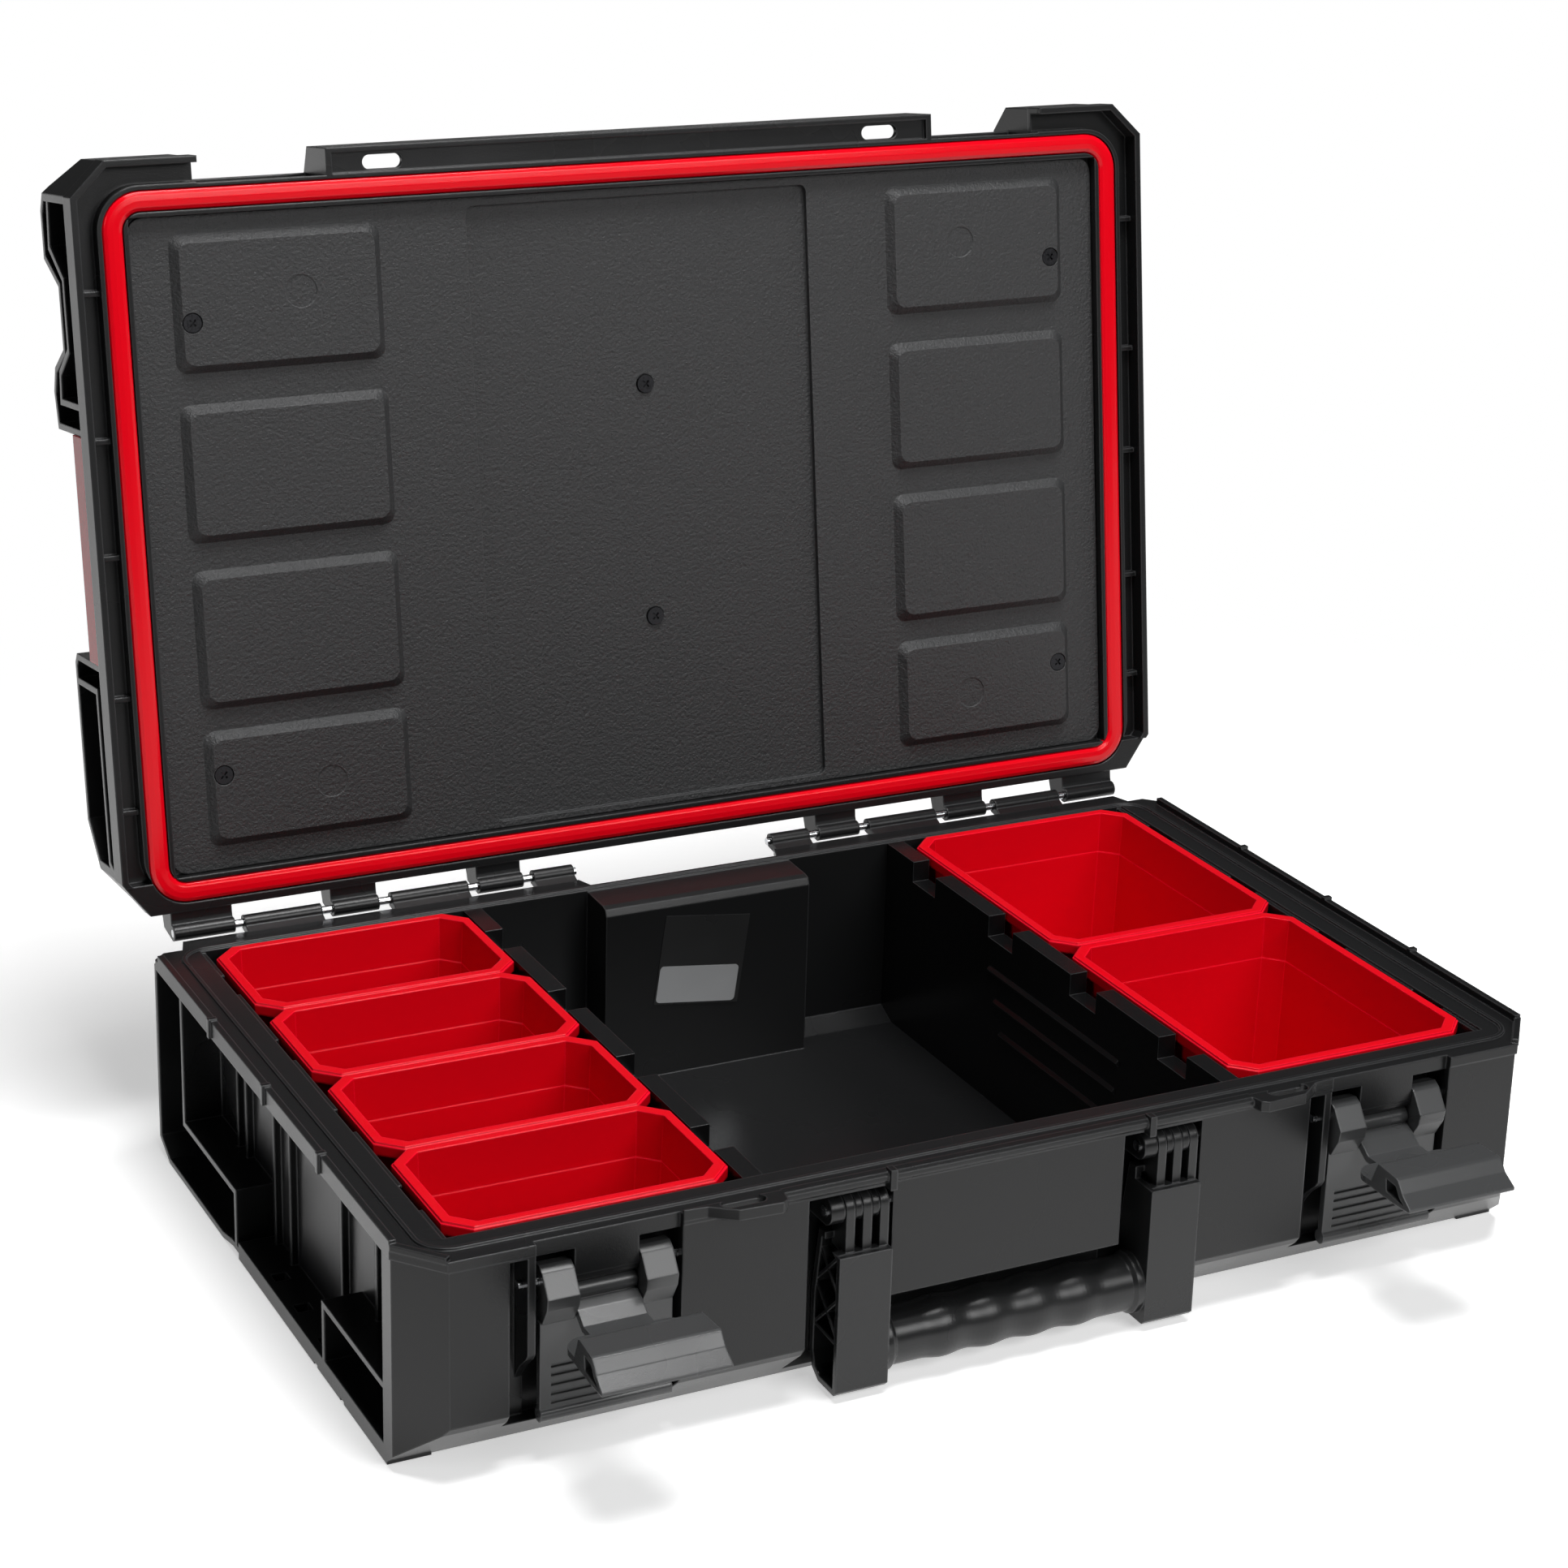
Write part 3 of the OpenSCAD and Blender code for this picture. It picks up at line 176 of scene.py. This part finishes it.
world = bpy.data.worlds.new("studio")
bpy.context.scene.world = world
world.use_nodes = True
tree = world.node_tree
background = tree.nodes["Background"]
mix = tree.nodes.new("ShaderNodeMix")
mix.inputs["A"].default_value = 0.2
mix.inputs["B"].default_value = 1.0
link(tree, looked_at(tree), mix.inputs["Factor"])
link(tree, mix.outputs["Result"], background.inputs["Strength"])
bpy.context.scene.view_settings.view_transform = "Standard"

# %% [markdown]
# ## What moulded plastic looks like
# A steel mould leaves three marks. Its etched skin gives a fine grain, its rounded corners catch the light,
# and the melt cools unevenly, so that the gloss drifts over a wide face. The first two are bumps and the third
# is a slow change of roughness. Grain and drift go in one node group. A second group makes the mask for a painted
# highlight that lightens the colour along rounded corners. Each plastic can then have its own amounts.

# %% Grain and drift
def new_group(name, inputs, outputs):
    group = bpy.data.node_groups.new(name, "ShaderNodeTree")
    for label, kind, value in inputs:
        socket = group.interface.new_socket(label, in_out="INPUT", socket_type=kind)
        if value is not None:
            socket.default_value = value
    for label, kind in outputs:
        group.interface.new_socket(label, in_out="OUTPUT", socket_type=kind)
    return group, group.nodes.new("NodeGroupInput"), group.nodes.new("NodeGroupOutput")


def calculate(tree, operation, a, b):
    node = tree.nodes.new("ShaderNodeMath")
    node.operation = operation
    for socket, value in zip(node.inputs, (a, b)):
        if isinstance(value, (int, float)):
            socket.default_value = value
        else:
            tree.links.new(value, socket)
    return node.outputs["Value"]


def noise(tree, vector, scale, detail, roughness=0.5):
    node = tree.nodes.new("ShaderNodeTexNoise")
    node.inputs["Scale"].default_value = scale
    node.inputs["Detail"].default_value = detail
    node.inputs["Roughness"].default_value = roughness
    tree.links.new(vector, node.inputs["Vector"])
    return node.outputs["Fac"]


grain_group, entry, leave = new_group(
    "mould_skin",
    [("Position", "NodeSocketVector", None), ("Leather", "NodeSocketFloat", 0.0)],
    [("Height", "NodeSocketFloat"), ("Drift", "NodeSocketFloat")],
)
fine = noise(grain_group, entry.outputs["Position"], 1500, 2, 0.6)
cells = grain_group.nodes.new("ShaderNodeTexVoronoi")
cells.feature = "SMOOTH_F1"
cells.inputs["Scale"].default_value = 620
link(grain_group, entry.outputs["Position"], cells.inputs["Vector"])
pebbles = calculate(grain_group, "MULTIPLY", cells.outputs["Distance"], entry.outputs["Leather"])
link(grain_group, calculate(grain_group, "SUBTRACT", fine, pebbles), leave.inputs["Height"])
slow = noise(grain_group, entry.outputs["Position"], 9, 3)
link(grain_group, slow, leave.inputs["Drift"])

# Painted highlight: a mask that rises where the rounded-corner normal turns away from the flat normal.
painted_highlight_group, entry, leave = new_group(
    "painted_edge_highlight",
    [("Rounded", "NodeSocketVector", None), ("Flat", "NodeSocketVector", None), ("Reach", "NodeSocketFloat", 6.0)],
    [("Mask", "NodeSocketFloat")],
)
facing = painted_highlight_group.nodes.new("ShaderNodeVectorMath")
facing.operation = "DOT_PRODUCT"
link(painted_highlight_group, entry.outputs["Rounded"], facing.inputs[0])
link(painted_highlight_group, entry.outputs["Flat"], facing.inputs[1])
turned_away = calculate(painted_highlight_group, "SUBTRACT", 1.0, facing.outputs["Value"])
edge = calculate(painted_highlight_group, "MULTIPLY", turned_away, entry.outputs["Reach"])
clamped = calculate(painted_highlight_group, "MINIMUM", edge, 1.0)
link(painted_highlight_group, clamped, leave.inputs["Mask"])
print("node groups:", [group.name for group in (grain_group, painted_highlight_group)])

# %% [markdown]
# ## One recipe for every plastic
# Base, lid, bins and handle are all moulded, so one function makes their materials. It rounds the corners in
# the shading, adds the grain, lets the gloss drift, and paints a highlight on the rounded corners by lightening their
# colour.

# %% Plastics
def moulded(name, colour, rough, grain, leather=0.0, corner=0.7, highlight_colour=None, drift=0.12, gloss=0.5):
    material, tree, shader = new_material(name)
    place = tree.nodes.new("ShaderNodeTexCoord").outputs["Object"]
    surface = tree.nodes.new("ShaderNodeNewGeometry")
    corners = tree.nodes.new("ShaderNodeBevel")
    corners.samples = 6
    corners.inputs["Radius"].default_value = corner * MM
    skin = tree.nodes.new("ShaderNodeGroup")
    skin.node_tree = grain_group
    skin.inputs["Leather"].default_value = leather
    link(tree, place, skin.inputs["Position"])
    bump = tree.nodes.new("ShaderNodeBump")
    bump.inputs["Strength"].default_value = 1.0
    bump.inputs["Distance"].default_value = grain * MM
    link(tree, skin.outputs["Height"], bump.inputs["Height"])
    link(tree, corners.outputs["Normal"], bump.inputs["Normal"])
    link(tree, bump.outputs["Normal"], shader.inputs["Normal"])
    # Painted highlight: the base colour is lightened towards a brighter edge colour along the rounded corners.
    edges = tree.nodes.new("ShaderNodeGroup")
    edges.node_tree = painted_highlight_group
    link(tree, corners.outputs["Normal"], edges.inputs["Rounded"])
    link(tree, surface.outputs["Normal"], edges.inputs["Flat"])
    tone = tree.nodes.new("ShaderNodeMix")
    tone.data_type = "RGBA"
    tone.inputs[6].default_value = (*colour, 1)
    tone.inputs[7].default_value = (*(highlight_colour or [min(1, c * 1.8) for c in colour]), 1)
    link(tree, edges.outputs["Mask"], tone.inputs[0])
    link(tree, tone.outputs[2], shader.inputs["Base Color"])
    swing = calculate(tree, "MULTIPLY", calculate(tree, "SUBTRACT", skin.outputs["Drift"], 0.5), drift * 2)
    link(tree, calculate(tree, "ADD", swing, rough), shader.inputs["Roughness"])
    shader.inputs["Specular IOR Level"].default_value = gloss
    return material


# The brighter edge colours given below are painted highlights along the rounded corners.
black = moulded("black_polypropylene", (0.0085, 0.0087, 0.0091), 0.28, 0.05, corner=1.2, highlight_colour=(0.05, 0.051, 0.053),
                gloss=0.3)
liner = moulded("grained_liner", (0.032, 0.0325, 0.0335), 0.42, 0.42, leather=0.9,
                highlight_colour=(0.07, 0.071, 0.073), gloss=0.35)
# Darker than the shell black as painted shade for the dividers deep in the case. The lower roughness is their own
# gloss.
inside = moulded("inner_walls_painted_shade", (0.005, 0.0051, 0.0054), 0.22, 0.03,
                 highlight_colour=(0.04, 0.041, 0.043), gloss=0.35)
nylon = moulded("grey_nylon", (0.046, 0.047, 0.048), 0.27, 0.03, corner=1.0, gloss=0.45)
# The handle's colour is darker than the latch nylon, with a little more roughness and less gloss.
grip = moulded("handle_nylon", (0.012, 0.0123, 0.0127), 0.3, 0.04, corner=1.2, highlight_colour=(0.06, 0.061, 0.063), gloss=0.35)
red = moulded("red_plastic", (0.66, 0.001, 0.008), 0.22, 0.01, corner=1.2, highlight_colour=(1.0, 0.006, 0.03), drift=0.05,
              gloss=0.2)
rubber = moulded("red_rubber", (0.78, 0.001, 0.009), 0.15, 0.01, corner=1.0, highlight_colour=(1.0, 0.006, 0.03), drift=0.04,
                 gloss=0.3)
print("plastics:", [finish.name for finish in (black, liner, inside, nylon, grip, red, rubber)])

# %% [markdown]
# ## Metals and film
# The hinge pins are bright drawn wire, so fine streaks change their gloss. The liner's screws are blackened, which
# leaves a dull metal. The label is a printed film, smoother than the housing that it is stuck on.

# %% Metals and film
steel, tree, shader = new_material("bright_steel")
shader.inputs["Metallic"].default_value = 1.0
shader.inputs["Base Color"].default_value = (0.62, 0.63, 0.65, 1)
place = tree.nodes.new("ShaderNodeTexCoord").outputs["Object"]
drawn = noise(tree, place, 700, 3)
link(tree, calculate(tree, "MULTIPLY", drawn, 0.4), shader.inputs["Roughness"])

oxide, tree, shader = new_material("blackened_steel")
shader.inputs["Metallic"].default_value = 0.8
shader.inputs["Base Color"].default_value = (0.03, 0.03, 0.033, 1)
place = tree.nodes.new("ShaderNodeTexCoord").outputs["Object"]
link(tree, calculate(tree, "ADD", calculate(tree, "MULTIPLY", noise(tree, place, 900, 2), 0.3), 0.15),
     shader.inputs["Roughness"])

film, tree, shader = new_material("black_film")
shader.inputs["Base Color"].default_value = (0.016, 0.0162, 0.0165, 1)
place = tree.nodes.new("ShaderNodeTexCoord").outputs["Object"]
link(tree, calculate(tree, "ADD", calculate(tree, "MULTIPLY", noise(tree, place, 60, 3), 0.2), 0.2),
     shader.inputs["Roughness"])

print("metals and film:", [finish.name for finish in (steel, oxide, film)])

# %% [markdown]
# ## Which piece gets which finish
# The record names a material for every piece, so the finishes go on by that name. Dividers and handle depart from
# it. The dividers get a glossier black that is darker than the shell, as painted shade for their place deep in the
# case, and the handle gets a darker and duller finish than the latch nylon.

# %% Give each piece its finish
finishes = {
    "red_plastic": red, "red_rubber": rubber, "steel": steel, "grey_plastic": nylon,
    "liner_plastic": liner, "label_film": film, "black_steel": oxide, "black_plastic": black,
}
for part in frame["record"]["subparts"]:
    piece = nodes[part["node"]]
    finish = finishes[part["material_slot"]]
    for index in range(max(1, len(piece.material_slots))):
        if piece.material_slots:
            piece.material_slots[index].link = "OBJECT"
            piece.material_slots[index].material = finish
        else:
            piece.data.materials.append(finish)
# The dividers get the darker black, which is painted shade.
for name in ("divider_left", "divider_right"):
    nodes[name].material_slots[0].material = inside
nodes["handle"].material_slots[0].material = grip

# %% [markdown]
# ## The label on the housing
# A film label is stuck on the housing at the back, a little askew. It is left blank: a black field with a
# silver panel along its lower half. The panel is a plane with its corners rounded by a vertex bevel, given a
# thickness far under a millimetre, as a printed panel would be cut.

# %% Label panel
def rounded_panel(name, size, radius, thickness, finish):
    bpy.ops.object.select_all(action="DESELECT")
    bpy.ops.mesh.primitive_plane_add(size=1)
    panel = bpy.context.object
    panel.name = panel.data.name = name
    panel.scale = (size[0], size[1], 1)
    bpy.ops.object.transform_apply(scale=True)
    bpy.ops.object.mode_set(mode="EDIT")
    bpy.ops.mesh.select_all(action="SELECT")
    bpy.ops.mesh.bevel(offset=radius, segments=6, affect="VERTICES")
    bpy.ops.mesh.extrude_region_move(TRANSFORM_OT_translate={"value": (0, 0, thickness)})
    bpy.ops.mesh.select_all(action="SELECT")
    bpy.ops.mesh.normals_make_consistent(inside=False)
    bpy.ops.object.mode_set(mode="OBJECT")
    panel.data.materials.append(finish)
    return panel


def put(piece, place, angles):
    piece.location = place
    piece.rotation_euler = angles
    bpy.ops.object.select_all(action="DESELECT")
    piece.select_set(True)
    bpy.context.view_layer.objects.active = piece
    bpy.ops.object.transform_apply(location=True, rotation=True, scale=True)


silver, tree, shader = new_material("silver_film")
shader.inputs["Metallic"].default_value = 0.7
shader.inputs["Base Color"].default_value = (0.62, 0.63, 0.64, 1)
place = tree.nodes.new("ShaderNodeTexCoord").outputs["Object"]
link(tree, calculate(tree, "ADD", calculate(tree, "MULTIPLY", noise(tree, place, 80, 3), 0.2), 0.3),
     shader.inputs["Roughness"])

label_low, label_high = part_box("blank_label")
label_middle = (Vector(label_low) + Vector(label_high)) / 2
panel = rounded_panel("label_panel", LABEL_PANEL, 2.2 * MM, 0.1 * MM, silver)
panel_place = (label_middle.x + LABEL_SHIFT.x, label_low[1] - FILM_GAP, label_middle.z + LABEL_SHIFT.z)
put(panel, panel_place, (math.pi / 2, LABEL_TURN, 0))
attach(panel, "base")
print("label panel at", [round(c / MM, 1) for c in label_middle])
